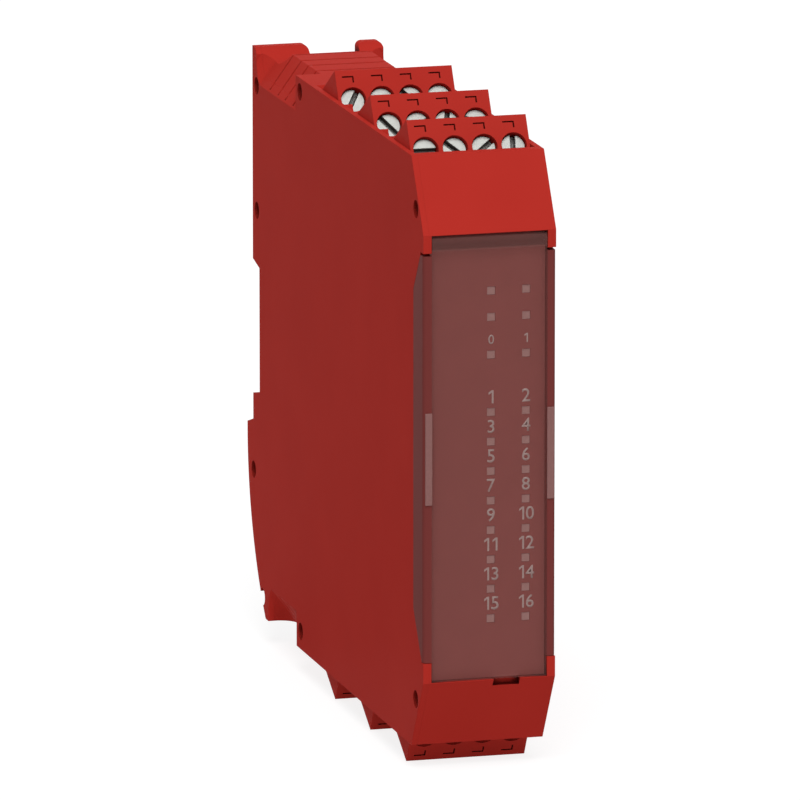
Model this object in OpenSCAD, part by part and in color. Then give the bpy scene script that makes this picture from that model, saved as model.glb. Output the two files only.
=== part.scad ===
// Safety input module for a 35 mm rail: a narrow upright housing with three tilted rows of
// four-pole plugs at the top and three at the bottom, and a clear cover over its front.

/* [Housing] */
// Thickness of each of the two side walls
side_t = 1; // [0.9:0.05:1.2]
// Height of the housing without its plugs
body_h = 99; // [97:0.5:106]
// Depth from the front face to the plane of the rail's flanges
body_d = 110.5; // [109:0.5:120]
// Height of the flat front between its two sloped faces
front_h = 75; // [73:0.5:77]
// Depth of each sloped face
slope_d = 7.4; // [6.6:0.1:7.8]
// Thickness of the outer walls round the housing
wall_t = 1.6; // [1.4:0.1:1.8]
// Diameter of the eight locating holes in the side cover
locating_d = 3; // [2.6:0.1:3.2]

/* [Rail seat] */
// Height of the rail
rail_h = 35; // [34.8:0.1:35.2]
// Thickness of the rail's flanges
rail_t = 1; // [1:0.05:1.3]
// Height of the rail's centre line above the middle of the housing
rail_rise = 1.7; // [1.4:0.1:2]
// Depth of the rear recess for the row of bus connectors
recess_d = 4.4; // [4:0.1:5]
// Half of the height of that recess
recess_half = 10.9; // [10:0.1:11.4]
// How far the foot reaches behind the rail's flanges
foot_reach = 4; // [3.6:0.1:4.6]
// Radius of the round heel below the foot
heel_r = 47; // [45:0.5:49]

/* [Plugs] */
// Distance between two poles
pole_pitch = 5; // [4.96:0.02:5.1]
// Plastic outside the outer poles at each end of a plug
plug_end = 0.15; // [0.1:0.05:0.3]
// How far the screw faces lean back from upright
plug_tilt = 30; // [29:0.5:31]
// Distance between two rows of plugs
row_pitch = 22.75; // [22.5:0.05:23.2]
// Depth of the first row's top edge behind the front
first_row = 14.6; // [14.2:0.1:15]
// Height of the plugs' top edges above the housing
plug_reach = 4.5; // [4:0.1:5]
// Thickness of a plug from its screw face to its back
plug_t = 12; // [11.8:0.1:12.2]
// Length of a plug's wide upper block
block_len = 12; // [11.8:0.1:12.3]
// Length of the narrow tongue that enters the header
tongue_len = 7; // [6.6:0.1:7.4]

/* [Terminal screws] */
// Diameter of a screw head
head_d = 4; // [3.8:0.05:4.1]
// Height of a screw head
head_h = 1.8; // [1.5:0.1:2]
// Diameter of the screw's thread
thread_d = 2.9; // [2.5:0.1:3]
// Width of the screwdriver slot
slot_w = 0.9; // [0.6:0.05:1]

/* [Front cover] */
// Thickness of the clear cover
cover_t = 1; // [0.9:0.05:1.1]
// Depth of the cover's two wings along the sides
wing_d = 6.2; // [5.8:0.1:6.6]
// Side of one square light window
window_w = 1.4; // [1.2:0.1:1.6]

/* [Rail latch] */
// Width of the sliding latch
latch_w = 14; // [13:0.1:14.4]
// Travel of the latch
latch_travel = 3.5; // [3:0.1:4]
// Wire diameter of the latch spring
wire_d = 0.6; // [0.5:0.05:0.7]
// Number of turns of the latch spring
spring_turns = 6; // [5:1:7]

/* [Hidden] */
poles = 4;
rows = 3;
sides = [1, -1];
// Clearance of sliding fits, and the overrun of every cut
slip = 0.1;
over = 1;

row_words = ["front", "middle", "rear"];

$fn = 48;
heel_fn = 180;

// Widths, worked outwards from the poles
plug_w = poles * pole_pitch + 2 * plug_end;
plug_x = plug_w / 2;
inner_x = plug_x + slip;
half_w = inner_x + side_t;
half_h = body_h / 2;
slope_h = (body_h - front_h) / 2;
slope_len = sqrt(slope_h * slope_h + slope_d * slope_d);

// Front wall and what lies in it
front_in = 3.5;
panel_f = 1.3;
panel_t = 0.8;
panel_back = panel_f + panel_t;
panel_rim = 1.5;
opening_x = half_w - panel_rim;
opening_top = front_h / 2 - slip;
barrel_r = 1.25;
barrel_f = barrel_r;
barrel_z = opening_top - slip - barrel_r;
panel_top = barrel_z - barrel_r - slip;
panel_bottom = -opening_top + slip;
hinge_reach = 0.6;
hinge_r = 0.5;
wing_top = 34;
wing_bottom = -34;
wing_t = 0.9;
wing_round = 6.5;
wing_taper_z = 8;
// Radius at which the cover's upper corners swing, and the height they reach at the front plane
swing_r = norm([cover_t - barrel_f, barrel_z - wing_top]);
swing_top = barrel_z - sqrt(swing_r * swing_r - barrel_f * barrel_f) + slip;
corner_r = 0.7;
grip_low = -6.3;
grip_high = 9.3;
frame_t = 1.1;
frame_f = wing_d + frame_t + slip;
frame_z = 33;
notch_x = 3;
notch_w = 4.5;
notch_h = 1.1;
notch_d = 1.6;

// Light windows: columns and rows counted from the middle of the housing
column_x = [0.6, 6.55];
status_z = [27.55, 23.15, 16.85];
input_rows = 8;
first_input_z = 7.25;
input_pitch = 4.95;
window_rows = concat(status_z, [for (i = [0 : input_rows - 1]) first_input_z - i * input_pitch]);

// Rail recess, hooks and foot
recess_f = body_d - recess_d;
recess_mid = 0.5;
recess_top = recess_mid + recess_half;
recess_bottom = recess_mid - recess_half;
recess_fall = 0.9;
flange_low = rail_rise - rail_h / 2;
flange_high = rail_rise + rail_h / 2;
foot_top = flange_low - slip;
foot_fall = 1.2;
foot_f = body_d + foot_reach;
heel_f = foot_f - heel_r;
heel_z = -18;
hook_x = 7;
hook_lip = 2.3;
hook_rise = 5;
hook_bevel = 1.4;
flange_gap = rail_t + slip;
channel_in = 7;
channel_f = body_d - channel_in;

// Ends of the housing at the rear: bevelled corners, grooves and tabs
bevel_w = 4.4;
bevel_h = 6.1;
bevel_f = 81.5;
tab_t = 2.8;
tab_f = body_d - tab_t;
gap_x0 = -1.9;
gap_x1 = 6.9;
gap_d = 2.1;
groove_fs = [84.3, 89.5, 94.2, 99.6];
groove_side = 0.6;
groove_lift = 0.1;
groove_short = 0.4;
tab_r = 1;
tab_scoop = 2.8;
scoop_sink = 0.05;
// Trough that runs across the top from the last groove up to the tabs
trough_r = 5.2;
trough_d = 2.2;
trough_rise = trough_r - trough_d;
trough_f = max(groove_fs) + groove_side + sqrt(trough_r * trough_r - trough_rise * trough_rise);
// Front of the foot's full height, where the lower bevels end
foot_front_f = 100.5;
flat_x = half_w - bevel_w;
bevel_lean = atan2(bevel_h, bevel_w);
bevel_slant = norm([bevel_w, bevel_h]);

// Hollow inside the housing
roof = half_h - wall_t;
hollow_top = half_h - bevel_h - wall_t;
hollow_f = bevel_f - wall_t;
rear_in = body_d - wall_t;
recess_in = recess_f - wall_t;
crown_x = half_w - bevel_w - wall_t;
bay_low = front_h / 2;

// Plug rows in their own tilted frame: y runs back from the screw face, z along the pull-off
row_top = half_h + plug_reach;
guide_t = 1.2;
plug_len = block_len + tongue_len;
header_top = block_len + slip;
header_floor = 2;
header_wall = 1.6;
header_depth = plug_len + 2 * slip;
header_len = header_depth + header_floor;
tongue_side = header_wall + slip;
end_wall = 1;
shelf_z = 45;
shelf_t = 1.2;
guide_drop = 1;
nib_drop = 6.5;
nib_x = 2;
nib_t = 1.1;
nib_gap = 0.3;

// Terminals inside a plug
screw_z = 5.2;
head_room = 0.3;
screw_hole_d = head_d + head_room;
shank_hole_d = thread_d + 2 * slip;
head_sink = 0.9;
cage_x = 2.05;
cage_y0 = 3.4;
cage_y1 = 10.4;
cage_top = 2.2;
cage_bottom = 8.2;
cage_wall = 0.6;
cage_thread_t = 1.2;
cage_slip = 0.1;
bar_y = 6.6;
bar_t = 0.8;
bar_x = 1.4;
bar_top = 2.6;
bar_bottom = 10.5;
fork_base = 1.5;
fork_t = 0.5;
fork_w = 1.2;
pin_w = 1;
pin_slip = 0.05;
pin_y = bar_y + bar_t / 2;
pin_short = 1.6;
pin_top = block_len + pin_short;
fork_short = 0.4;
fork_end = plug_len - fork_short;
entry_x = 1.9;
entry_y0 = 6.6;
entry_y1 = 10.6;
entry_d = 1.1;
slot_depth = 1;
lead_first = 26;
lead_step = 0.8;
lead_t = 0.6;
mark_x0 = -1.5;
mark_x1 = 0.45;
mark_h = 0.9;
mark_t = 0.25;
mark_d = 0.2;
mark_z = 1.3;
shoulder_y = head_sink + head_h + slip / 2;

// Start angles of the screw slots, seen from the front, row by row from the left
slot_angles = [[0, -42, 37, 86], [-50, 18, 78, -20], [60, 12, -45, -8]];

// Boards
board_t = 1.6;
board_side = 0.45;
board_x0 = -inner_x + board_side;
board_x1 = board_x0 + board_t;
board_z = 28;
board_gap = 0.3;
display_t = 1;
display_f = 4.6;
display_back = display_f + display_t;
display_z = 29.5;
board_f0 = frame_f + slip;
board_f1 = channel_f - wall_t - board_gap;
tongue_half = 8.2;
tongue_short = 1;
tongue_f = body_d - tongue_short;
guide_plate_f = 2.4;
led_t = 0.7;
led_w = 1.6;
led_h = 1.2;
guide_back = display_f - led_t;
guide_margin = 0.9;
guide_x0 = min(column_x) - led_w / 2 - guide_margin;
guide_x1 = max(column_x) + led_w / 2 + guide_margin;
guide_z0 = min(window_rows) - window_w - guide_margin;
guide_z1 = max(window_rows) + window_w + guide_margin;
post_r = 2.2;
standoff_f = [20, 90];
standoff_z = 20;
standoff_pin_r = 1.15;
standoff_pin_len = 5;
locating_depth = 1.6;
locating_boss_wall = 1.1;
locating_boss_r = locating_d / 2 + locating_boss_wall;
locating_boss_len = 6;
// Locating holes: depth behind the front or before the rail plane, and height from an edge
edge_in = 3.1;
top_edge_in = 2.4;
front_hole_f = 4.7;
front_hole_out = 3.6;
bevel_hole_f = 2.7;
rear_hole_f = 2.8;
tab_hole_in = 6.6;
seat_hole_out = 9.8;
heel_hole_f = 0.2;
heel_hole_out = 9;
foot_hole_f = 6.1;
foot_hole_in = 3.5;
locating_fz = [
    [front_hole_f, front_h / 2 + front_hole_out], [front_hole_f, -front_h / 2 - front_hole_out],
    [bevel_f - bevel_hole_f, half_h - top_edge_in], [bevel_f - bevel_hole_f, -half_h + edge_in],
    [body_d - rear_hole_f, half_h - tab_hole_in], [body_d - rear_hole_f, recess_top + seat_hole_out],
    [body_d - heel_hole_f, flange_low - heel_hole_out], [body_d - foot_hole_f, -half_h + foot_hole_in]];

// Latch and its spring
channel_x = latch_w / 2 + slip;
channel_drop = 0.6;
channel_top = flange_low - channel_drop;
latch_top = channel_top - slip;
hook_f = body_d + rail_t + 2 * slip;
latch_hook_lip = 1.8;
latch_skin = 0.3;
latch_bottom = -half_h + latch_travel - latch_skin;
rib_x = 1.1;
rib_f0 = 1.6;
rib_f1 = 2.9;
rib_z0 = -40;
rib_z1 = -21;
spring_r = 2.1;
spring_in = 2.9;
spring_f = channel_f + spring_in;
spring_top = -28;
spring_bottom = -40;
ledge_t = 1.5;
ledge_x = 2.8;
ledge_f1 = 5.2;
pocket_x = 3.1;
pocket_f1 = 5.5;
pry_z0 = -44.6;
pry_z1 = -43;
pry_x = 3;
pry_f = 1.7;
coil_steps = 16;
coil_sides = 8;

function row_f(row) = first_row + row * row_pitch;
function pole_x(p) = (p - (poles - 1) / 2) * pole_pitch;
// Depth at which a row's plane y meets the height z
function plane_f(row, y, z) =
    row_f(row) + y * cos(plug_tilt) + (z - row_top + y * sin(plug_tilt)) * tan(plug_tilt);

// Turns depths from the front and heights from the middle into the rail's frame
module in_frame() translate([0, -body_d, -rail_rise]) children();
// Extrudes a side view, drawn as depth and height, from x0 to x1
module across(x0, x1) translate([x0, 0, 0]) rotate([90, 0, 90]) linear_extrude(x1 - x0) children();
module block(x0, x1, y0, y1, z0, z1) translate([x0, y0, z0]) cube([x1 - x0, y1 - y0, z1 - z0]);
module strip(x0, x1, y0, y1) translate([x0, y0]) square([x1 - x0, y1 - y0]);
module at_side(side) {
    if (side > 0) children();
    else mirror([0, 0, 1]) children();
}
module at_row(side, row)
    at_side(side) translate([0, row_f(row), row_top]) rotate([-plug_tilt, 0, 0]) children();
module row_view(row) translate([row_f(row), row_top]) rotate(-plug_tilt) children();

// Side view of the whole housing
module outline() {
    polygon([[0, -front_h / 2], [0, front_h / 2], [slope_d, half_h], [body_d, half_h],
        [body_d, recess_top + recess_fall], [recess_f, recess_top],
        [recess_f, recess_bottom], [body_d, recess_bottom - recess_fall],
        [body_d, foot_top], [heel_f, foot_top], [heel_f, -half_h], [slope_d, -half_h]]);
    intersection() {
        translate([heel_f, heel_z]) circle(heel_r, $fn = heel_fn);
        polygon([[heel_f, foot_top], [body_d, foot_top], [foot_f, foot_top - foot_fall],
            [foot_f, -half_h], [heel_f, -half_h]]);
    }
}

// The hollow inside the perimeter walls, seen from the side
module cavity() {
    back = plug_t + slip;
    polygon([
        [front_in, -bay_low], [front_in, bay_low],
        [plane_f(rows - 1, back, bay_low), bay_low], [plane_f(rows - 1, back, roof), roof],
        [hollow_f, roof], [hollow_f, hollow_top], [rear_in, hollow_top],
        [rear_in, recess_top + recess_fall + wall_t], [recess_in, recess_top + wall_t],
        [recess_in, recess_bottom - wall_t], [channel_f - wall_t, recess_bottom - wall_t],
        [channel_f - wall_t, -hollow_top], [hollow_f, -hollow_top], [hollow_f, -roof],
        [plane_f(rows - 1, back, roof), -roof], [plane_f(rows - 1, back, bay_low), -bay_low]]);
}

// The part of the top that lies open for the plugs
module bay() {
    back = plug_t + slip;
    lip_f = slope_d + wall_t * slope_h / slope_len;
    lip_z = half_h - wall_t * slope_d / slope_len;
    reach = half_h + over - lip_z;
    polygon([[front_in, bay_low], [lip_f, lip_z], [lip_f + reach * slope_d / slope_h, lip_z + reach],
        [plane_f(rows - 1, back, half_h + over), half_h + over],
        [plane_f(rows - 1, back, bay_low), bay_low]]);
}

// Walls that guide the plugs and headers, and the shelves between them
module guides() {
    for (row = [0 : rows - 1]) {
        last = row == rows - 1;
        row_view(row) {
            strip(plug_t + slip, plug_t + slip + guide_t, -header_len, last ? plug_t : -guide_drop);
            strip(-slip - guide_t, -slip, -header_len, (shelf_z - row_top) / cos(plug_tilt));
        }
        mid = slip + guide_t / 2;
        start = [for (z = [shelf_z - shelf_t, shelf_z]) row == 0 ? slope_d : plane_f(row - 1, plug_t + mid, z)];
        polygon([[start[0], shelf_z - shelf_t], [start[1], shelf_z],
            [plane_f(row, -mid, shelf_z), shelf_z], [plane_f(row, -mid, shelf_z - shelf_t), shelf_z - shelf_t]]);
    }
}

module perimeter() {
    intersection() {
        outline();
        union() {
            difference() {
                outline();
                cavity();
                for (side = sides) scale([1, side]) bay();
            }
            for (side = sides) scale([1, side]) guides();
        }
    }
}

// One groove that runs over the bevels and the top at the depth f
module groove(f) {
    half = groove_side / 2;
    translate([0, f, half_h + groove_lift]) rotate([45, 0, 0])
        block(-flat_x, flat_x, -half, half, -half, half);
    for (x = [-1, 1]) scale([x, 1, 1])
        translate([flat_x, f, half_h]) rotate([0, bevel_lean, 0]) translate([0, 0, groove_lift]) rotate([45, 0, 0])
            block(-half, bevel_slant - groove_short, -half, half, -half, half);
}

// Bevelled corners at the rear, each with a hollow curve up to the tab or foot that starts at end_f
module bevels(end_f) for (x = [-1, 1]) scale([x, 1, 1]) difference() {
    translate([0, end_f, 0]) rotate([90, 0, 0]) linear_extrude(end_f - bevel_f)
        polygon([[flat_x, half_h], [half_w, half_h - bevel_h], [half_w + over, half_h - bevel_h],
            [half_w + over, half_h + over], [flat_x, half_h + over]]);
    translate([flat_x, end_f, half_h]) rotate([0, bevel_lean, 0]) scoop_fillet();
}

// What stays of the plastic between a bevel and the tab behind it, along the bevel's slope
module scoop_fillet() difference() {
    block(-over, bevel_slant + over, -tab_scoop, over, -over, tab_scoop - scoop_sink);
    translate([-2 * over, scoop_sink - tab_scoop, tab_scoop - scoop_sink]) rotate([0, 90, 0])
        cylinder(h = bevel_slant + 4 * over, r = tab_scoop);
}

module trough() translate([-half_w - over, trough_f, half_h + trough_rise]) rotate([0, 90, 0])
    cylinder(h = 2 * (half_w + over), r = trough_r);

// All cuts that the case and the side cover share at the housing's rear ends
module rear_ends() {
    for (side = sides) at_side(side) {
        end_f = side > 0 ? tab_f : foot_front_f;
        bevels(end_f);
        for (f = groove_fs) if (side > 0 || f < end_f - tab_scoop) groove(f);
    }
    trough();
    block(gap_x0, gap_x1, trough_f, body_d + over, half_h - gap_d, half_h + over);
    tab_corner(gap_x1, 1);
    for (x = [gap_x0, half_w]) tab_corner(x, -1);
}

// Rounds the upper corner of a tab whose side face is at x; way points from there into the tab
module tab_corner(x, way)
    translate([x, tab_f - over, half_h - tab_r]) scale([way, 1, 1]) rotate([-90, 0, 0]) difference() {
        block(-over, tab_r, -tab_r - over, 0, 0, tab_t + 2 * over);
        translate([tab_r, 0, -over]) cylinder(h = tab_t + 4 * over, r = tab_r);
    }

// Side view of one cover wing; grow widens it into its recess
module wing_outline(grow) {
    top = wing_top + grow;
    back = wing_d + grow;
    polygon([[-over, wing_bottom - grow], [cover_t, wing_bottom - grow],
        [back, wing_bottom + wing_taper_z - grow], [back, top - wing_round],
        [cover_t + wing_t, top], [-over, top]]);
}

// Recesses for the cover, its hinge barrel and the label panel
module front_cuts() {
    block(-half_w - over, half_w + over, -over, cover_t + slip, wing_bottom - slip, wing_top + slip);
    block(-half_w - over, half_w + over, -over, cover_t + wing_t, wing_top, swing_top);
    block(-opening_x - slip, opening_x + slip, -over, cover_t + slip, -opening_top, opening_top);
    block(-opening_x - slip, opening_x + slip, 0, panel_back, panel_bottom - slip, panel_top + slip);
    translate([-opening_x - slip, barrel_f, barrel_z]) rotate([0, 90, 0])
        cylinder(h = 2 * (opening_x + slip), r = barrel_r + slip);
    hinge_pin(opening_x + hinge_reach + slip, hinge_r + slip);
    across(inner_x, half_w + over) wing_outline(slip);
    across(-half_w - over, -inner_x) wing_outline(slip);
    block(notch_x - notch_w / 2, notch_x + notch_w / 2, -over, notch_d,
        -front_h / 2 - notch_h, -opening_top + over);
}

module hinge_pin(reach, r)
    translate([-reach, barrel_f, barrel_z]) rotate([0, 90, 0]) cylinder(h = 2 * reach, r = r);

// Window in the front wall behind the label panel
module light_opening() {
    block(guide_x0, guide_x1, 0, front_in + over, guide_z0, guide_z1);
}

module locating_pockets(x0, x1) for (p = locating_fz)
    translate([x0, p[0], p[1]]) rotate([0, 90, 0]) cylinder(h = x1 - x0, d = locating_d);

// Bosses round the locating holes, cut off in the guide walls so that the plugs stay free
module locating_bosses() difference() {
    intersection() {
        for (p = locating_fz) translate([-inner_x, p[0], p[1]]) rotate([0, 90, 0])
            cylinder(h = locating_boss_len, r = locating_boss_r);
        across(-inner_x, inner_x) outline();
    }
    for (side = sides) for (row = [0 : rows - 1]) at_row(side, row)
        block(-half_w, half_w, -slip - guide_t / 2, plug_t + slip + guide_t / 2, -header_len, over);
}

// Posts that carry the main board
module standoffs() for (f = standoff_f) for (z = [-standoff_z, standoff_z])
    translate([board_x1, f, z]) rotate([0, 90, 0]) difference() {
        cylinder(h = inner_x - board_x1 + side_t / 2, r = post_r);
        translate([0, 0, -over]) cylinder(h = standoff_pin_len + over, r = standoff_pin_r + slip / 2);
    }

// Channel in the foot in which the latch slides, with a ledge for the spring
module latch_channel() difference() {
    union() {
        block(-channel_x, channel_x, channel_f, foot_f + over, -half_h - over, channel_top);
        block(-channel_x - rib_x - slip, channel_x + rib_x + slip, channel_f + rib_f0 - slip,
            channel_f + rib_f1 + slip, -half_h - over, channel_top);
        block(-channel_x, channel_x, hook_f - slip, foot_f + over, channel_top - over, foot_top + over);
    }
    block(-ledge_x, ledge_x, channel_f - over, channel_f + ledge_f1, spring_bottom - ledge_t, spring_bottom);
}

module upper_hook() across(-hook_x, hook_x) polygon([
    [rear_in, flange_high + slip], [body_d + flange_gap, flange_high + slip],
    [body_d + flange_gap, flange_high - hook_lip], [foot_f - hook_bevel, flange_high - hook_lip],
    [foot_f, flange_high - hook_lip + hook_bevel], [foot_f, flange_high + hook_rise / 2],
    [body_d, flange_high + hook_rise], [rear_in, flange_high + hook_rise]]);

// Small upright nibs at the side walls in front of the two rear rows
module nib_pairs() for (side = sides) for (row = [1, 2]) at_row(side, row) for (x = [-1, 1]) scale([x, 1, 1])
    block(inner_x - nib_x, inner_x + side_t / 2, -nib_gap - nib_t, -nib_gap,
        (shelf_z - row_top) / cos(plug_tilt) - shelf_t, -nib_drop);

module nibs() intersection() {
    nib_pairs();
    across(-inner_x, inner_x + side_t / 2) outline();
}

module case_shell() color("firebrick") in_frame() difference() {
    union() {
        across(inner_x, half_w) outline();
        across(-inner_x, inner_x + side_t / 2) perimeter();
        for (x = [[-inner_x, -inner_x + frame_t], [inner_x - frame_t, inner_x]])
            across(x[0], x[1]) strip(cover_t + slip, frame_f, -frame_z, frame_z);
        standoffs();
        nibs();
        upper_hook();
        locating_bosses();
    }
    rear_ends();
    front_cuts();
    light_opening();
    latch_channel();
    locating_pockets(-inner_x - over, -inner_x + locating_depth);
    for (side = sides) at_side(side)
        block(-crown_x, crown_x, hollow_f - over, max(groove_fs) - wall_t, hollow_top - over, roof);
    block(board_x0 - slip, board_x1 + slip, recess_in - over, recess_f + over, -tongue_half - slip, tongue_half + slip);
}

module side_cover() color("firebrick") in_frame() {
    difference() {
        across(-half_w, -inner_x) outline();
        rear_ends();
        front_cuts();
        locating_pockets(-half_w - over, -inner_x + over);
    }
    for (f = standoff_f) for (z = [-standoff_z, standoff_z]) translate([-inner_x, f, z]) rotate([0, 90, 0]) {
        cylinder(h = board_x1 - slip + inner_x + standoff_pin_len - slip, r = standoff_pin_r);
        cylinder(h = board_x0 + inner_x, r = post_r);
    }
}

module window_squares(grow, f0, f1) for (x = column_x) for (z = window_rows)
    block(x - window_w / 2 - grow, x + window_w / 2 + grow, f0, f1, z - window_w / 2 - grow, z + window_w / 2 + grow);

module label_panel() color("rosybrown") in_frame() difference() {
    block(-opening_x, opening_x, panel_f, panel_back, panel_bottom, panel_top);
    window_squares(0, panel_f - over, panel_back + over);
}

module clear_cover() color([0.6, 0.5, 0.5, 0.5]) in_frame() {
    difference() {
        union() {
            block(-opening_x, opening_x, 0, cover_t, -opening_top + slip, barrel_z);
            block(-half_w, half_w, 0, cover_t, wing_bottom, wing_top);
            for (x = [-1, 1]) scale([x, 1, 1]) across(half_w - wing_t, half_w) wing_outline(0);
            translate([-opening_x, barrel_f, barrel_z]) rotate([0, 90, 0]) cylinder(h = 2 * opening_x, r = barrel_r);
            hinge_pin(opening_x + hinge_reach, hinge_r);
        }
        block(-half_w - over, half_w + over, -2 * over, 0, -front_h, front_h);
        for (x = [-1, 1]) scale([x, 1, 1]) corner_round();
    }
    for (x = [-1, 1]) scale([x, 1, 1])
        block(opening_x - slip, inner_x - slip, cover_t - slip, cover_t + slip / 2, grip_low, grip_high);
}

// Rounds the cover's long outer edges
module corner_round() translate([half_w, 0, -front_h / 2]) difference() {
    block(-corner_r, over, -over, corner_r, 0, front_h);
    translate([-corner_r, corner_r, -over]) cylinder(h = front_h + 2 * over, r = corner_r);
}

module light_guide() color("gainsboro") in_frame() {
    block(guide_x0 + slip, guide_x1 - slip, guide_plate_f, guide_back, guide_z0 + slip, guide_z1 - slip);
    window_squares(-slip / 2, panel_f + slip, guide_plate_f + slip);
}

module indicator_leds() color("honeydew") in_frame() for (x = column_x) for (z = window_rows)
    block(x - led_w / 2, x + led_w / 2, guide_back, display_f, z - led_h / 2, z + led_h / 2);

module display_board() color("darkgreen") in_frame()
    block(-inner_x + frame_t + slip, inner_x - frame_t - slip, display_f, display_back, -display_z, display_z);

module main_board() color("darkgreen") in_frame() difference() {
    union() {
        block(board_x0, board_x1, board_f0, board_f1, -board_z, board_z);
        block(board_x0, board_x1, board_f1 - over, tongue_f, -tongue_half, tongue_half);
    }
    for (f = standoff_f) for (z = [-standoff_z, standoff_z]) translate([board_x0 - over, f, z]) rotate([0, 90, 0])
        cylinder(h = board_t + 2 * over, r = standoff_pin_r + slip);
}

// Integrated circuits, couplers and capacitors on the main board: width, length and height each
chip_list = [
    [34, 9, 14, 14, 1.4], [34, -9, 14, 14, 1.4], [56, 0, 8, 10, 2.4], [56, 16, 8, 10, 2.4],
    [56, -16, 8, 10, 2.4], [72, 12, 12, 9, 9], [72, -10, 10, 7, 2.6], [90, 0, 9, 12, 2.2], [16, 0, 6, 22, 3]];
capacitor_fz = [[84, -12], [84, 12]];
capacitor_h = 9;
capacitor_r = 3.2;
// Plug connection between the main board and the display board
link_t = 2.5;
link_half = 9;
module board_chips() color("dimgray") in_frame() {
    for (c = chip_list)
        block(board_x1, board_x1 + c[4], c[0] - c[2] / 2, c[0] + c[2] / 2, c[1] - c[3] / 2, c[1] + c[3] / 2);
    for (c = capacitor_fz) translate([board_x1, c[0], c[1]]) rotate([0, 90, 0])
        cylinder(h = capacitor_h, r = capacitor_r);
    block(board_x1, board_x1 + link_t, display_back, board_f0 + link_t, -link_half, link_half);
}

// Header shrouds: open towards the plug, with a floor that carries the pins
module header(side, row) color("dimgray") in_frame() at_row(side, row) difference() {
    block(-plug_x, plug_x, 0, plug_t, -header_len, -header_top);
    block(-plug_x + end_wall, plug_x - end_wall, header_wall, plug_t - header_wall, -header_depth, 0);
    for (p = [0 : poles - 1])
        block(pole_x(p) - pin_w / 2 - pin_slip, pole_x(p) + pin_w / 2 + pin_slip,
            pin_y - pin_w / 2 - pin_slip, pin_y + pin_w / 2 + pin_slip, -header_len - over, 0);
}

// Each pin stands in its header and turns below it to the main board
module header_pins() color("silver") in_frame() for (side = sides) for (row = [0 : rows - 1])
    at_row(side, row) for (p = [0 : poles - 1]) {
        lead_z = lead_first + p * lead_step;
        block(pole_x(p) - pin_w / 2, pole_x(p) + pin_w / 2, pin_y - pin_w / 2, pin_y + pin_w / 2,
            -lead_z - lead_t, -pin_top);
        block(board_x1, pole_x(p), pin_y - lead_t / 2, pin_y + lead_t / 2, -lead_z - lead_t, -lead_z);
    }

// Everything that is cut out of a plug for one pole
module pole_cuts() {
    translate([0, -over, -screw_z]) rotate([-90, 0, 0]) cylinder(h = over + shoulder_y, d = screw_hole_d);
    translate([0, 0, -screw_z]) rotate([-90, 0, 0]) cylinder(h = cage_y0, d = shank_hole_d);
    block(-cage_x - cage_slip, cage_x + cage_slip, cage_y0 - cage_slip, cage_y1 + 3 * cage_slip,
        -cage_bottom - cage_slip, -cage_top + cage_slip);
    block(-entry_x, entry_x, entry_y0, entry_y1, -entry_d, over);
    block(-bar_x, bar_x, bar_y + bar_t + slip, cage_y1 - cage_wall, -cage_top - over, over);
    block(-bar_x - slip, bar_x + slip, bar_y - slip, bar_y + bar_t + slip, -bar_bottom, -cage_top);
    block(-fork_w - slip, fork_w + slip, pin_y - fork_w, pin_y + fork_w, -plug_len - over, -bar_bottom + slip);
}

// Plain angled marks above the screws
module pole_mark() {
    block(mark_x0, mark_x1, -over, mark_d, -mark_z, -mark_z + mark_t);
    block(mark_x1 - mark_t, mark_x1, -over, mark_d, -mark_z - mark_h, -mark_z + mark_t);
}

module plug(side, row) color("firebrick") in_frame() at_row(side, row) difference() {
    union() {
        block(-plug_x, plug_x, 0, plug_t, -block_len, 0);
        block(-plug_x + end_wall + slip, plug_x - end_wall - slip, tongue_side, plug_t - tongue_side, -plug_len, 0);
    }
    for (p = [0 : poles - 1]) translate([pole_x(p), 0, 0]) {
        pole_cuts();
        pole_mark();
    }
}

// Four contacts of a plug: a current bar that ends in a fork
module contacts(side, row) color("goldenrod") in_frame() at_row(side, row)
    for (p = [0 : poles - 1]) translate([pole_x(p), 0, 0]) {
        block(-bar_x, bar_x, bar_y, bar_y + bar_t, -bar_bottom, -bar_top);
        block(-fork_w + slip, fork_w - slip, bar_y, bar_y + bar_t, -bar_bottom - fork_base, -bar_bottom);
        for (x = [-1, 1]) scale([x, 1, 1])
            block(pin_w / 2 + pin_slip, pin_w / 2 + pin_slip + fork_t, bar_y, bar_y + bar_t,
                -fork_end, -bar_bottom - fork_base);
    }

// Four clamp cages of a plug, each a square loop with a threaded wall under the screw head
module clamps(side, row) color("silver") in_frame() at_row(side, row)
    for (p = [0 : poles - 1]) translate([pole_x(p), 0, 0]) difference() {
        block(-cage_x, cage_x, cage_y0, cage_y1, -cage_bottom, -cage_top);
        block(-cage_x + cage_wall, cage_x - cage_wall, cage_y0 + cage_thread_t, cage_y1 - cage_wall,
            -cage_bottom - over, -cage_top + over);
        translate([0, cage_y0 - over, -screw_z]) rotate([-90, 0, 0])
            cylinder(h = cage_thread_t + 2 * over, d = thread_d + slip / 2);
    }

module screw(side, row, p) color("lightgray") in_frame() at_row(side, row)
    translate([pole_x(p), head_sink, -screw_z]) rotate([0, side * -slot_angles[row][p], 0]) difference() {
        union() {
            rotate([-90, 0, 0]) cylinder(h = head_h, d = head_d);
            rotate([-90, 0, 0]) cylinder(h = bar_y - head_sink - slip / 2, d = thread_d);
        }
        block(-head_d, head_d, -over, slot_depth, -slot_w / 2, slot_w / 2);
    }

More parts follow.
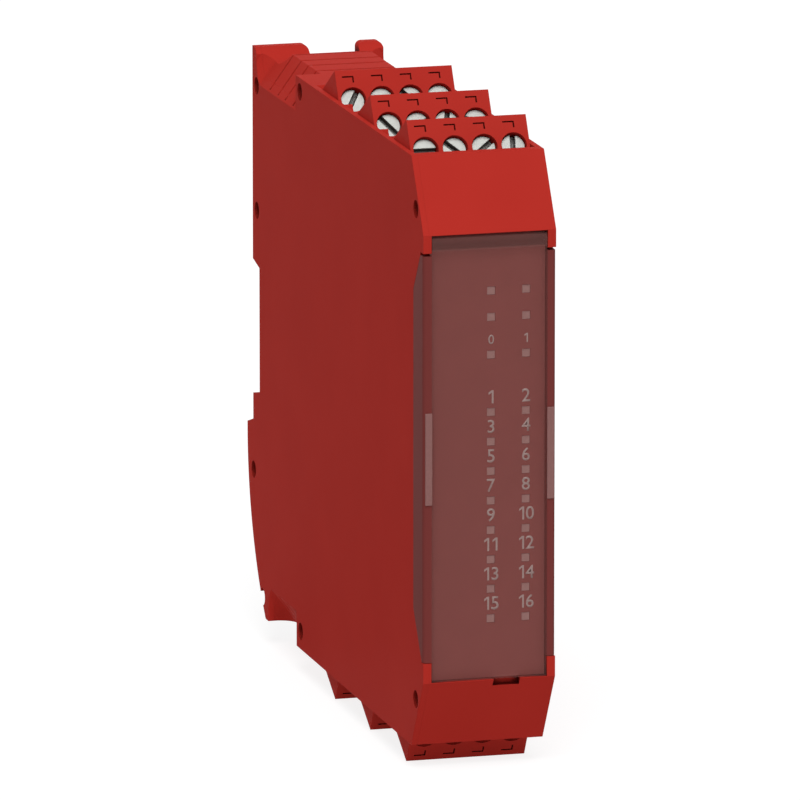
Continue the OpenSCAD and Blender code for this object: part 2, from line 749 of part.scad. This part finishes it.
// The latch fills the foot's channel and hooks behind the rail's lower flange
module rail_latch() color("dimgray") in_frame() difference() {
    union() {
        across(-latch_w / 2, latch_w / 2) intersection() {
            polygon([[channel_f + slip, latch_top], [hook_f, latch_top], [hook_f, flange_low + latch_hook_lip],
                [hook_f + latch_skin, flange_low + latch_hook_lip], [foot_f, flange_low - foot_fall],
                [foot_f, latch_bottom], [channel_f + slip, latch_bottom]]);
            union() {
                translate([heel_f, heel_z]) circle(heel_r - latch_skin, $fn = heel_fn);
                strip(channel_f, foot_f - latch_skin, heel_z, flange_low + 2 * latch_hook_lip);
            }
        }
        for (x = [-1, 1]) scale([x, 1, 1])
            block(latch_w / 2 - over, latch_w / 2 + rib_x, channel_f + rib_f0, channel_f + rib_f1, rib_z0, rib_z1);
    }
    block(-pocket_x, pocket_x, channel_f - over, channel_f + pocket_f1,
        spring_bottom - ledge_t - 4 * slip, spring_top);
    block(-pry_x, pry_x, channel_f + pry_f, foot_f + over, pry_z0, pry_z1);
}

// Compression spring, swept along its helix with flat first and last turns
function coil_point(i, n, z0, z1) =
    let (a = 360 * i / coil_steps, t = max(0, min(1, (i - coil_steps / 2) / (n - coil_steps))))
    [spring_r * cos(a), spring_r * sin(a), z0 + (z1 - z0) * t];
module coil(z0, z1) {
    n = spring_turns * coil_steps;
    pts = [for (i = [0 : n]) for (k = [0 : coil_sides - 1])
        let (c = coil_point(i, n, z0, z1), a = 360 * i / coil_steps, b = 360 * k / coil_sides,
            d = wire_d / 2 * cos(b)) [c[0] + d * cos(a), c[1] + d * sin(a), c[2] + wire_d / 2 * sin(b)]];
    faces = concat(
        [[for (k = [0 : coil_sides - 1]) k]],
        [for (i = [0 : n - 1]) for (k = [0 : coil_sides - 1])
            let (a = i * coil_sides + k, b = i * coil_sides + (k + 1) % coil_sides)
            [a, a + coil_sides, b + coil_sides, b]],
        [[for (k = [coil_sides - 1 : -1 : 0]) n * coil_sides + k]]);
    polyhedron(pts, faces, convexity = 10);
}
module latch_spring() color("silver") in_frame() translate([0, spring_f, 0])
    coil(spring_bottom + wire_d / 2, spring_top - wire_d / 2);

case_shell();
side_cover();
label_panel();
clear_cover();
light_guide();
indicator_leds();
main_board();
display_board();
board_chips();
header_pins();
rail_latch();
latch_spring();
for (s = [0, 1]) for (r = [0 : rows - 1]) {
    tail = str("_", ["top", "bottom"][s], "_", row_words[r]);
    plug(sides[s], r);
    header(sides[s], r);
    clamps(sides[s], r);
    contacts(sides[s], r);
    for (p = [0 : poles - 1])
        screw(sides[s], r, p);
}
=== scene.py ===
import math
import bmesh
import bpy
from mathutils import Matrix, Vector


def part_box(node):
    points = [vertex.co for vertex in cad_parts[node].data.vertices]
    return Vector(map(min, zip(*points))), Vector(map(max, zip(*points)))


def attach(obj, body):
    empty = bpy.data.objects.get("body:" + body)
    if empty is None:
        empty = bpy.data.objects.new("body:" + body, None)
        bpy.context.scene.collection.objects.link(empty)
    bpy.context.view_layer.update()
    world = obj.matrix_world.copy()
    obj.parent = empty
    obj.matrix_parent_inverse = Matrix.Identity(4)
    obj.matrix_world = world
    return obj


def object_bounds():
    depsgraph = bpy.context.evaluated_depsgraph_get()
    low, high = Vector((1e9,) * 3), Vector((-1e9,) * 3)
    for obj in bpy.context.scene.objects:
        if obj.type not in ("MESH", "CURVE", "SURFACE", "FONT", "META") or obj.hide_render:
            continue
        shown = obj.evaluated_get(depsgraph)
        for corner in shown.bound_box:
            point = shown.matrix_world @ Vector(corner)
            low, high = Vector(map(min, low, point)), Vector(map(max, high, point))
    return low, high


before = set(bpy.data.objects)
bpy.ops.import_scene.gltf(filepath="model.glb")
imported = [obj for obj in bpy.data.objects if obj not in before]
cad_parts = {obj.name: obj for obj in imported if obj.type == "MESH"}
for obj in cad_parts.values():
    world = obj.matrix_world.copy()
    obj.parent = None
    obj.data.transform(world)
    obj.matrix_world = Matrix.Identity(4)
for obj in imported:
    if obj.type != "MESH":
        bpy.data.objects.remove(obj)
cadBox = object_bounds()
mm = 0.001

# The cover's front face and the housing's mid height, from which the view and the trim are placed
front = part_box("clear_cover")[0].y
middle = (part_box("case_shell")[0].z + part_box("case_shell")[1].z) / 2

# The photograph's view, fitted to the housing's corners, the plug rows and the locating holes
view = {
    "yaw": math.radians(15.264),
    "pitch": math.radians(12.105),
    "distance": 1.9921,
    "lens": 547.6,
    "sensor": 36.0,
    "across": -0.014666,
    "up": 0.009372,
    "near": 0.1,
    "far": 20.0,
}


def addCamera(v):
    ahead = Vector((math.sin(v["yaw"]) * math.cos(v["pitch"]),
                    math.cos(v["yaw"]) * math.cos(v["pitch"]), -math.sin(v["pitch"])))
    right = Vector((math.cos(v["yaw"]), -math.sin(v["yaw"]), 0))
    upward = right.cross(ahead)
    aim = Vector((0, front, middle)) + v["across"] * right + v["up"] * upward
    data = bpy.data.cameras.new("camera")
    data.lens = v["lens"]
    data.sensor_width = v["sensor"]
    data.clip_start = v["near"]
    data.clip_end = v["far"]
    camera = bpy.data.objects.new("camera", data)
    bpy.context.scene.collection.objects.link(camera)
    turn = Matrix((right, upward, -ahead)).transposed().to_4x4()
    camera.matrix_world = Matrix.Translation(aim - v["distance"] * ahead) @ turn
    bpy.context.scene.camera = camera


addCamera(view)
print("camera set")


class Wire:
    def __init__(self, tree, socket):
        self.tree = tree
        self.socket = socket

    def maths(self, operation, first, second=0.0):
        return addNode(self.tree, "ShaderNodeMath", {"operation": operation}, {0: first, 1: second})

    def __add__(self, other):
        return self.maths("ADD", self, other)

    def __radd__(self, other):
        return self.maths("ADD", other, self)

    def __sub__(self, other):
        return self.maths("SUBTRACT", self, other)

    def __rsub__(self, other):
        return self.maths("SUBTRACT", other, self)

    def __mul__(self, other):
        return self.maths("MULTIPLY", self, other)

    def __rmul__(self, other):
        return self.maths("MULTIPLY", other, self)

    def __mod__(self, other):
        return self.maths("FLOORED_MODULO", self, other)

    def __rmod__(self, other):
        return self.maths("FLOORED_MODULO", other, self)

    def __lt__(self, other):
        return self.maths("LESS_THAN", self, other)

    def __gt__(self, other):
        return self.maths("GREATER_THAN", self, other)

    def __abs__(self):
        return self.maths("ABSOLUTE", self)

    # 0 up to start, 1 from start + width on, and a smooth step between
    def above(self, start, width):
        sockets = {0: self, 1: start, 2: start + width}
        return addNode(self.tree, "ShaderNodeMapRange", {"interpolation_type": "SMOOTHSTEP"}, sockets)


def addNode(tree, kind, settings=None, sockets=None, out=0):
    node = tree.nodes.new(kind)
    for name, value in (settings or {}).items():
        setattr(node, name, value)
    for name, value in (sockets or {}).items():
        if isinstance(value, Wire):
            tree.links.new(value.socket, node.inputs[name])
        else:
            node.inputs[name].default_value = value
    return Wire(tree, node.outputs[out]) if node.outputs else None


# A colour as the screen shows it, 0 to 255, in the renderer's own linear values
def paint(red, green, blue):
    def linear(c):
        c = c / 255
        return c / 12.92 if c <= 0.04045 else ((c + 0.055) / 1.055) ** 2.4
    return (linear(red), linear(green), linear(blue), 1.0)


def shaded(colour, factor):
    return tuple(min(1.0, c * factor) for c in colour[:3]) + (1.0,)


def newMaterial(name):
    material = bpy.data.materials.new(name)
    material.use_nodes = True
    material.node_tree.nodes.clear()
    return material


def finishMaterial(material, sockets):
    tree = material.node_tree
    shader = addNode(tree, "ShaderNodeBsdfPrincipled", None, sockets)
    addNode(tree, "ShaderNodeOutputMaterial", None, {"Surface": shader})
    return material


def place(tree):
    return addNode(tree, "ShaderNodeTexCoord", out="Object")


def axes(tree, vector):
    return [addNode(tree, "ShaderNodeSeparateXYZ", None, {0: vector}, out=axis) for axis in "XYZ"]


def noise(tree, vector, scale, detail=2.0, roughness=0.5):
    return addNode(tree, "ShaderNodeTexNoise", None,
                   {"Vector": vector, "Scale": scale, "Detail": detail, "Roughness": roughness})


# A Mix node's colours are its sockets 6 and 7, and the mixed colour is its output 2
def blendColours(tree, factor, first, second):
    return addNode(tree, "ShaderNodeMix", {"data_type": "RGBA"}, {0: factor, 6: first, 7: second}, out=2)


def roundedEdges(tree, radius):
    return addNode(tree, "ShaderNodeBevel", {"samples": 6}, {"Radius": radius})


def bump(tree, height, strength, distance, normal=None):
    sockets = {"Strength": strength, "Distance": distance, "Height": height}
    if normal:
        sockets["Normal"] = normal
    return addNode(tree, "ShaderNodeBump", None, sockets)


# How open a spot is to its own piece's surroundings: near 0 far down in a groove, slot or hole, 1 on a flat
# face. Finishes blend painted shade into their colour by it
def openness(tree, look):
    settings = {"samples": 8, "only_local": True}
    opening = addNode(tree, "ShaderNodeAmbientOcclusion", settings, {"Distance": look["reach"]}, out="AO")
    return opening.above(look["closed"], look["opens"])


# Moulded plastic with a fine spark-eroded skin, faintly cloudy where the melt flowed, and with painted
# shade, a darker colour, in its grooves, slots and holes
housingLook = {
    "dark": paint(184, 46, 38),
    "light": paint(202, 56, 47),
    "grain": 3800.0,
    "grainDetail": 3.0,
    "grainRoughness": 0.6,
    "grainShare": 0.8,
    "cloud": 60.0,
    "drift": 0.6,
    "roughness": 0.58,
    "swing": 0.12,
    "specular": 0.012,
    "skin": 0.35,
    "depth": 0.04 * mm,
    "edge": 0.1 * mm,
    # The painted shade in grooves, slots and holes: how much darker it is, and the reach and openness over
    # which it fades
    "paintedShadeDepth": 0.12,
    "reach": 3.4 * mm,
    "closed": 0.52,
    "opens": 0.44,
}
plugLook = dict(housingLook, dark=paint(184, 48, 40), light=paint(202, 58, 49), grain=3200.0, cloud=90.0,
                reach=1.6 * mm)
latchLook = dict(housingLook, dark=paint(24, 24, 25), light=paint(40, 40, 42), grain=3600.0, cloud=80.0,
                 roughness=0.55, specular=0.35, skin=0.4, edge=0.3 * mm, paintedShadeDepth=0.5, reach=1.2 * mm)
headerLook = dict(latchLook, dark=paint(20, 21, 22), light=paint(34, 35, 36), roughness=0.45, edge=0.15 * mm)
chipLook = dict(latchLook, dark=paint(22, 22, 24), light=paint(44, 44, 46), grain=5200.0, roughness=0.6,
                edge=0.1 * mm)


def mouldedPlastic(name, look):
    material = newMaterial(name)
    tree = material.node_tree
    spot = place(tree)
    grain = noise(tree, spot, look["grain"], look["grainDetail"], look["grainRoughness"])
    cloud = noise(tree, spot, look["cloud"])
    height = grain * look["grainShare"] + cloud * (1 - look["grainShare"])
    flow = cloud * look["drift"] + (0.5 - look["drift"] / 2)
    colour = blendColours(tree, flow, look["dark"], look["light"])
    # Painted shade: the dark colour darkened further, blended in where the spot is closed in
    paintedShadeColour = shaded(look["dark"], look["paintedShadeDepth"])
    return finishMaterial(material, {
        "Base Color": blendColours(tree, openness(tree, look), paintedShadeColour, colour),
        "Roughness": look["roughness"] + (grain - 0.5) * look["swing"],
        "Specular IOR Level": look["specular"],
        "Normal": bump(tree, height, look["skin"], look["depth"], roundedEdges(tree, look["edge"])),
    })


housingRed = mouldedPlastic("housingRed", housingLook)
plugRed = mouldedPlastic("plugRed", plugLook)
latchBlack = mouldedPlastic("latchBlack", latchLook)
headerBlack = mouldedPlastic("headerBlack", headerLook)
chipBlack = mouldedPlastic("chipBlack", chipLook)


# Finishes in which one fine speck moves the colour, the gloss and the relief: the label's matt film, the
# light guide behind the windows, the diodes' lenses, the printed numerals and the cover's grip pads
labelLook = {
    "dark": paint(163, 88, 83),
    "light": paint(173, 94, 89),
    "film": 1.0,
    "speck": 240.0,
    "detail": 3.0,
    "roughness": 0.55,
    "swing": 0.1,
    "specular": 0.1,
    "relief": 0.05,
    "depth": 0.02 * mm,
}
guideLook = dict(labelLook, dark=paint(196, 152, 146), light=shaded(paint(196, 152, 146), 1.12),
                 speck=5200.0, detail=2.0, roughness=0.35, specular=0.45, relief=0.2, depth=0.03 * mm)
ledLook = dict(guideLook, dark=paint(214, 212, 190), light=shaded(paint(214, 212, 190), 1.12),
               roughness=0.25)
inkLook = dict(labelLook, dark=shaded(paint(226, 204, 198), 0.86), light=paint(226, 204, 198),
               speck=2400.0, detail=2.0, roughness=0.5, specular=0.3, relief=0.1)
padLook = dict(guideLook, dark=paint(146, 102, 98), light=paint(168, 120, 116), film=0.75, speck=3600.0,
               roughness=0.4, specular=0.3)


def speckledFinish(name, look):
    material = newMaterial(name)
    tree = material.node_tree
    speck = noise(tree, place(tree), look["speck"], look["detail"])
    return finishMaterial(material, {
        "Base Color": blendColours(tree, speck, look["dark"], look["light"]),
        "Alpha": look["film"],
        "Roughness": speck * look["swing"] + look["roughness"],
        "Specular IOR Level": look["specular"],
        "Normal": bump(tree, speck, look["relief"], look["depth"]),
    })


# Smoked clear plastic: a reddish grey film with a polished face. Its side wings are frosted and nearly
# opaque, and the band over the hinge barrel is cloudier than the window
coverLook = {
    "tint": paint(130, 86, 82),
    "frosted": paint(128, 60, 57),
    "film": 0.2,
    "wingFilm": 0.95,
    "bandFilm": 0.45,
    "wingFrom": 9.75 * mm,
    "bandFrom": 2.6 * mm,
    "blend": 0.1 * mm,
    "wave": 45.0,
    "waveDetail": 1.0,
    "roughness": 0.1,
    "wingSwing": 0.4,
    "waveSwing": 0.04,
    "specular": 0.03,
}


def smokedPlastic(look):
    material = newMaterial("smokedPlastic")
    tree = material.node_tree
    spot = place(tree)
    x, _, z = axes(tree, spot)
    wave = noise(tree, spot, look["wave"], look["waveDetail"])
    wing = abs(x).above(look["wingFrom"], look["blend"])
    band = z.above(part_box("clear_cover")[1].z - look["bandFrom"], look["blend"])
    wingMore = look["wingFilm"] - look["film"]
    bandMore = look["bandFilm"] - look["film"]
    return finishMaterial(material, {
        "Base Color": blendColours(tree, wing, look["tint"], look["frosted"]),
        "Alpha": wing * wingMore + band * bandMore + look["film"],
        "Roughness": wing * look["wingSwing"] + wave * look["waveSwing"] + look["roughness"],
        "Specular IOR Level": look["specular"],
    })


# Machined or drawn metal with fine scratches, with painted shade, a near-black tone, in its slots and
# corners. A stretch below 1 draws the scratches out along that axis
screwLook = {
    "dark": paint(152, 154, 150),
    "light": paint(180, 182, 178),
    # The near-black tone of the painted shade in slots and corners
    "paintedShadeTone": paint(40, 34, 32),
    "stretch": (1.0, 1.0, 1.0),
    "scratch": 2600.0,
    "scratchDetail": 4.0,
    "scratchRoughness": 0.65,
    "haze": 700.0,
    "hazeDetail": 3.0,
    "roughness": 0.5,
    "scratchSwing": 0.25,
    "hazeSwing": 0.2,
    "relief": 0.2,
    "depth": 0.04 * mm,
    "edge": 0.12 * mm,
    # The reach and openness over which the painted shade fades
    "reach": 0.9 * mm,
    "closed": 0.5,
    "opens": 0.42,
}
cageLook = dict(screwLook, dark=paint(168, 168, 164), light=paint(206, 206, 202), stretch=(1.0, 0.1, 1.0),
                edge=0.08 * mm)
contactLook = dict(screwLook, dark=paint(190, 178, 146), light=paint(222, 210, 176), stretch=(1.0, 1.0, 0.1),
                   edge=0.05 * mm)
springLook = dict(screwLook, dark=paint(150, 150, 150), light=paint(190, 190, 192), roughness=0.34,
                  edge=0.04 * mm)
goldLook = dict(screwLook, dark=paint(206, 160, 70), light=paint(232, 190, 96), roughness=0.3,
                edge=0.03 * mm)


def scratchedMetal(name, look):
    material = newMaterial(name)
    tree = material.node_tree
    spot = place(tree)
    drawn = addNode(tree, "ShaderNodeMapping", None, {"Vector": spot, "Scale": look["stretch"]})
    scratch = noise(tree, drawn, look["scratch"], look["scratchDetail"], look["scratchRoughness"])
    haze = noise(tree, spot, look["haze"], look["hazeDetail"])
    polished = blendColours(tree, haze, look["dark"], look["light"])
    worn = (scratch - 0.5) * look["scratchSwing"] + (haze - 0.5) * look["hazeSwing"]
    return finishMaterial(material, {
        # Painted shade: slots and corners blend toward the near-black tone
        "Base Color": blendColours(tree, openness(tree, look), look["paintedShadeTone"], polished),
        "Metallic": 1.0,
        "Roughness": look["roughness"] + worn,
        "Normal": bump(tree, scratch, look["relief"], look["depth"], roundedEdges(tree, look["edge"])),
    })


zincScrew = scratchedMetal("zincScrew", screwLook)
cageSteel = scratchedMetal("cageSteel", cageLook)
tinnedContact = scratchedMetal("tinnedContact", contactLook)
springWire = scratchedMetal("springWire", springLook)
fingerGold = scratchedMetal("fingerGold", goldLook)


# Circuit board: green resist over a net of copper tracks, which show as a paler green and a slight relief
boardLook = {
    "resist": paint(16, 74, 40),
    "track": paint(30, 104, 58),
    "pitch": 1.8 * mm,
    "rowPitch": 4.5 * mm,
    "width": 0.63 * mm,
    "wander": 120.0,
    "stray": 4.0 * mm,
    "gloss": 900.0,
    "roughness": 0.3,
    "swing": 0.12,
    "specular": 0.5,
    "relief": 0.5,
    "depth": 0.03 * mm,
}


def boardGreen(look):
    material = newMaterial("boardGreen")
    tree = material.node_tree
    spot = place(tree)
    x, y, z = axes(tree, spot)
    wander = noise(tree, spot, look["wander"], 0.0) * look["stray"]
    lines = (y + wander) % look["pitch"] < look["width"]
    rows = (z + x + wander) % look["rowPitch"] < look["width"]
    tracks = addNode(tree, "ShaderNodeMath", {"operation": "MAXIMUM"}, {0: lines, 1: rows})
    return finishMaterial(material, {
        "Base Color": blendColours(tree, tracks, look["resist"], look["track"]),
        "Roughness": look["roughness"] + noise(tree, spot, look["gloss"]) * look["swing"],
        "Specular IOR Level": look["specular"],
        "Normal": bump(tree, tracks, look["relief"], look["depth"]),
    })


boardResist = boardGreen(boardLook)

# Each node's finish by its own name, or by the first word of it where the piece repeats
finishes = {
    "case_shell": housingRed,
    "side_cover": housingRed,
    "label_panel": speckledFinish("labelFilm", labelLook),
    "clear_cover": smokedPlastic(coverLook),
    "light_guide": speckledFinish("frostedGuide", guideLook),
    "indicator_leds": speckledFinish("ledLens", ledLook),
    "main_board": boardResist,
    "display_board": boardResist,
    "board_chips": chipBlack,
    "header_pins": tinnedContact,
    "rail_latch": latchBlack,
    "latch_spring": springWire,
    "plug": plugRed,
    "header": headerBlack,
    "clamps": cageSteel,
    "contacts": tinnedContact,
    "screw": zincScrew,
}


def finishOf(node):
    return finishes[node] if node in finishes else finishes[node.split("_")[0]]


for name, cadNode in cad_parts.items():
    cadNode.data.materials.clear()
    cadNode.data.materials.append(finishOf(name))
print("materials set on", len(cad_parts), "nodes")


# The printed numerals: two columns beside the input windows, and 0 and 1 over the third pair. The weight is
# added to the font's strokes, and the 1's stem and flag are shares of its height
numerals = {
    "columns": (0.6 * mm, 6.55 * mm),
    "firstRow": 7.25 * mm,
    "pitch": 4.95 * mm,
    "rows": 8,
    "rise": 2.57 * mm,
    "height": 2.2 * mm,
    "weight": 0.008,
    "curveSteps": 4,
    "advance": 1.42 * mm,
    "stem": 0.14,
    "stemSteps": 6,
    "flag": (-0.24, -0.17),
    "smallRow": 16.85 * mm,
    "smallHeight": 1.55 * mm,
    "thick": 0.04 * mm,
    "weld": 0.0001 * mm,
}


# A plain upright 1, one unit high, with a slanted flag at its upper left: the font's own is a bare bar
def oneMesh(n):
    solid = bmesh.new()
    bmesh.ops.create_grid(solid, x_segments=1, y_segments=n["stemSteps"], size=0.5)
    bmesh.ops.scale(solid, vec=(n["stem"], 1, 1), verts=solid.verts)
    upright = [e for e in solid.edges if abs(e.verts[0].co.x - e.verts[1].co.x) < n["stem"] / 2]
    corner = max(upright, key=lambda e: sum(v.co.y - v.co.x for v in e.verts))
    grown = bmesh.ops.extrude_edge_only(solid, edges=[corner])["geom"]
    tip = [v for v in grown if isinstance(v, bmesh.types.BMVert)]
    bmesh.ops.translate(solid, vec=(*n["flag"], 0), verts=tip)
    return solid


def digitMesh(digit, n):
    text = bpy.data.curves.new("digit", "FONT")
    text.body = digit
    text.offset = n["weight"]
    text.resolution_u = n["curveSteps"]
    carrier = bpy.data.objects.new("digit", text)
    bpy.context.scene.collection.objects.link(carrier)
    bpy.context.view_layer.update()
    flat = bpy.data.meshes.new_from_object(carrier)
    solid = bmesh.new()
    solid.from_mesh(flat)
    bpy.data.objects.remove(carrier)
    bpy.data.curves.remove(text)
    bpy.data.meshes.remove(flat)
    return solid


# The digits of one number, centred on x and z and stood on the label's face
def wordMeshes(word, height, n, x, z):
    placed = []
    for i, digit in enumerate(word):
        solid = oneMesh(n) if digit == "1" else digitMesh(digit, n)
        low, high = [[pick(v.co[axis] for v in solid.verts) for axis in (0, 1)] for pick in (min, max)]
        scale = height / (high[1] - low[1])
        toCentre = [-(low[axis] + high[axis]) / 2 for axis in (0, 1)]
        bmesh.ops.translate(solid, vec=(*toCentre, 0), verts=solid.verts)
        bmesh.ops.scale(solid, vec=(scale, scale, scale), verts=solid.verts)
        bmesh.ops.rotate(solid, matrix=Matrix.Rotation(math.radians(90), 3, "X"), verts=solid.verts)
        across = x + (i - (len(word) - 1) / 2) * n["advance"] * height / n["height"]
        bmesh.ops.translate(solid, vec=(across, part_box("label_panel")[0].y, z), verts=solid.verts)
        placed.append(solid)
    return placed


def pieceFrom(name, solid, material, body):
    mesh = bpy.data.meshes.new(name)
    solid.to_mesh(mesh)
    solid.free()
    mesh.materials.append(material)
    piece = bpy.data.objects.new(name, mesh)
    bpy.context.scene.collection.objects.link(piece)
    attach(piece, body)


def joinSolids(solids):
    joined = bmesh.new()
    for solid in solids:
        scratch = bpy.data.meshes.new("scratch")
        solid.to_mesh(scratch)
        joined.from_mesh(scratch)
        bpy.data.meshes.remove(scratch)
        solid.free()
    return joined


def addNumerals(n):
    words = []
    for row in range(n["rows"]):
        for column, x in enumerate(n["columns"]):
            z = middle + n["firstRow"] - row * n["pitch"] + n["rise"]
            words += wordMeshes(str(2 * row + column + 1), n["height"], n, x, z)
    for column, x in enumerate(n["columns"]):
        z = middle + n["smallRow"] + n["rise"]
        words += wordMeshes(str(column), n["smallHeight"], n, x, z)
    sheet = joinSolids(words)
    bmesh.ops.remove_doubles(sheet, verts=sheet.verts, dist=n["weld"])
    bmesh.ops.recalc_face_normals(sheet, faces=sheet.faces)
    bmesh.ops.solidify(sheet, geom=sheet.faces[:], thickness=n["thick"])
    bmesh.ops.translate(sheet, vec=(0, -n["thick"], 0), verts=sheet.verts)
    bmesh.ops.recalc_face_normals(sheet, faces=sheet.faces)
    pieceFrom("numerals", sheet, speckledFinish("printInk", inkLook), "case")


addNumerals(numerals)
print("numerals printed")


# A block with rounded edges: all of them, or those along one axis alone
def roundedBlock(size, centre, radius, along=None):
    block = bmesh.new()
    bmesh.ops.create_cube(block, size=1.0)
    runs = [e for e in block.edges if along is None or e.verts[0].co[along] != e.verts[1].co[along]]
    bmesh.ops.scale(block, vec=size, verts=block.verts)
    bmesh.ops.bevel(block, geom=runs, offset=radius, affect="EDGES", segments=3, profile=0.5, material=-1)
    bmesh.ops.translate(block, vec=centre, verts=block.verts)
    return block


# Gold fingers on both sides of the board's tongue, which meets the bus connector
fingers = {
    "count": 5,
    "pitch": 2.9 * mm,
    "width": 1.6 * mm,
    "length": 2.6 * mm,
    "thick": 0.035 * mm,
    "inset": 0.35 * mm,
    "round": 0.4 * mm,
}


def addFingers(g):
    low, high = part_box("main_board")
    size = (2 * g["thick"], g["length"], g["width"])
    depth = high.y - g["inset"] - g["length"] / 2
    laid = []
    for side in (low.x, high.x):
        for i in range(g["count"]):
            rise = middle + (i - (g["count"] - 1) / 2) * g["pitch"]
            laid.append(roundedBlock(size, (side, depth, rise), g["round"], along=0))
    pieceFrom("tongue_fingers", joinSolids(laid), fingerGold, "case")


addFingers(fingers)
print("board fingers laid")


# Frosted grip pads, one on each wing of the clear cover and sunk a little into it
gripPads = {
    "inner": 9.75 * mm,
    "outer": 10.95 * mm,
    "low": -7.5 * mm,
    "high": 7.9 * mm,
    "thick": 0.3 * mm,
    "round": 0.14 * mm,
    "sunk": 0.05 * mm,
}


def addGripPads(p):
    size = (p["outer"] - p["inner"], p["thick"], p["high"] - p["low"])
    depth = front + p["sunk"] - p["thick"] / 2
    rise = middle + (p["low"] + p["high"]) / 2
    across = (p["outer"] + p["inner"]) / 2
    laid = [roundedBlock(size, (side * across, depth, rise), p["round"]) for side in (-1, 1)]
    pieceFrom("grip_pads", joinSolids(laid), speckledFinish("frostedPad", padLook), "cover")


addGripPads(gripPads)
print("grip pads laid on the cover")


# Floor, world and lamps. The lamps are kept at a level at which a colour renders about as it is written
studio = {
    "floor": 8.0,
    "pale": (0.37, 0.37, 0.37, 1.0),
    "shown": (0.26, 0.26, 0.26, 1.0),
    "glow": 0.84,
    "sky": (1.0, 1.0, 1.0, 1.0),
    "ambient": 0.4,
    "lamps": {
        "key": {"energy": 1.7, "from": (-0.14, -0.57, 0.81), "angle": math.radians(30)},
        "fill": {"energy": 0.9, "from": (-0.1, -0.75, -0.65), "angle": math.radians(60)},
    },
}


# 1 for a ray that the camera sends, also by way of a gloss or a clear piece
def looked(tree):
    rays = ("Is Camera Ray", "Is Glossy Ray", "Is Transmission Ray")
    seen, mirrored, passed = [addNode(tree, "ShaderNodeLightPath", out=ray) for ray in rays]
    return addNode(tree, "ShaderNodeClamp", None, {"Value": seen + mirrored + passed})


# The floor lights the object as a matt grey, and looks white to the camera but for the object's shadow
def addFloor(s):
    floor = bmesh.new()
    bmesh.ops.create_grid(floor, x_segments=1, y_segments=1, size=s["floor"] / 2)
    bmesh.ops.translate(floor, vec=(0, 0, cadBox[0].z), verts=floor.verts)
    mesh = bpy.data.meshes.new("floor")
    floor.to_mesh(mesh)
    floor.free()
    material = newMaterial("paleFloor")
    tree = material.node_tree
    matt = addNode(tree, "ShaderNodeBsdfDiffuse", None, {"Color": s["pale"]})
    faint = addNode(tree, "ShaderNodeBsdfDiffuse", None, {"Color": s["shown"]})
    glow = addNode(tree, "ShaderNodeEmission", None, {"Strength": s["glow"]})
    shown = addNode(tree, "ShaderNodeAddShader", None, {0: faint, 1: glow})
    floorShader = addNode(tree, "ShaderNodeMixShader", None, {0: looked(tree), 1: matt, 2: shown})
    addNode(tree, "ShaderNodeOutputMaterial", None, {"Surface": floorShader})
    mesh.materials.append(material)
    piece = bpy.data.objects.new("floor", mesh)
    piece.visible_shadow = False  # the fill shines up through it
    bpy.context.scene.collection.objects.link(piece)


def addWorld(s):
    world = bpy.data.worlds.new("studio")
    world.use_nodes = True
    tree = world.node_tree
    tree.nodes.clear()
    strength = looked(tree) * (1.0 - s["ambient"]) + s["ambient"]
    sky = addNode(tree, "ShaderNodeBackground", None, {"Color": s["sky"], "Strength": strength})
    addNode(tree, "ShaderNodeOutputWorld", None, {"Surface": sky})
    bpy.context.scene.world = world


def addLamps(s):
    for name, lamp in s["lamps"].items():
        data = bpy.data.lights.new(name, "SUN")
        data.energy = lamp["energy"]
        data.angle = lamp["angle"]
        sun = bpy.data.objects.new(name, data)
        sun.rotation_euler = Vector(lamp["from"]).to_track_quat("Z", "Y").to_euler()
        bpy.context.scene.collection.objects.link(sun)


addFloor(studio)
addWorld(studio)
addLamps(studio)
bpy.context.scene.view_settings.view_transform = "Standard"
print("studio lit")
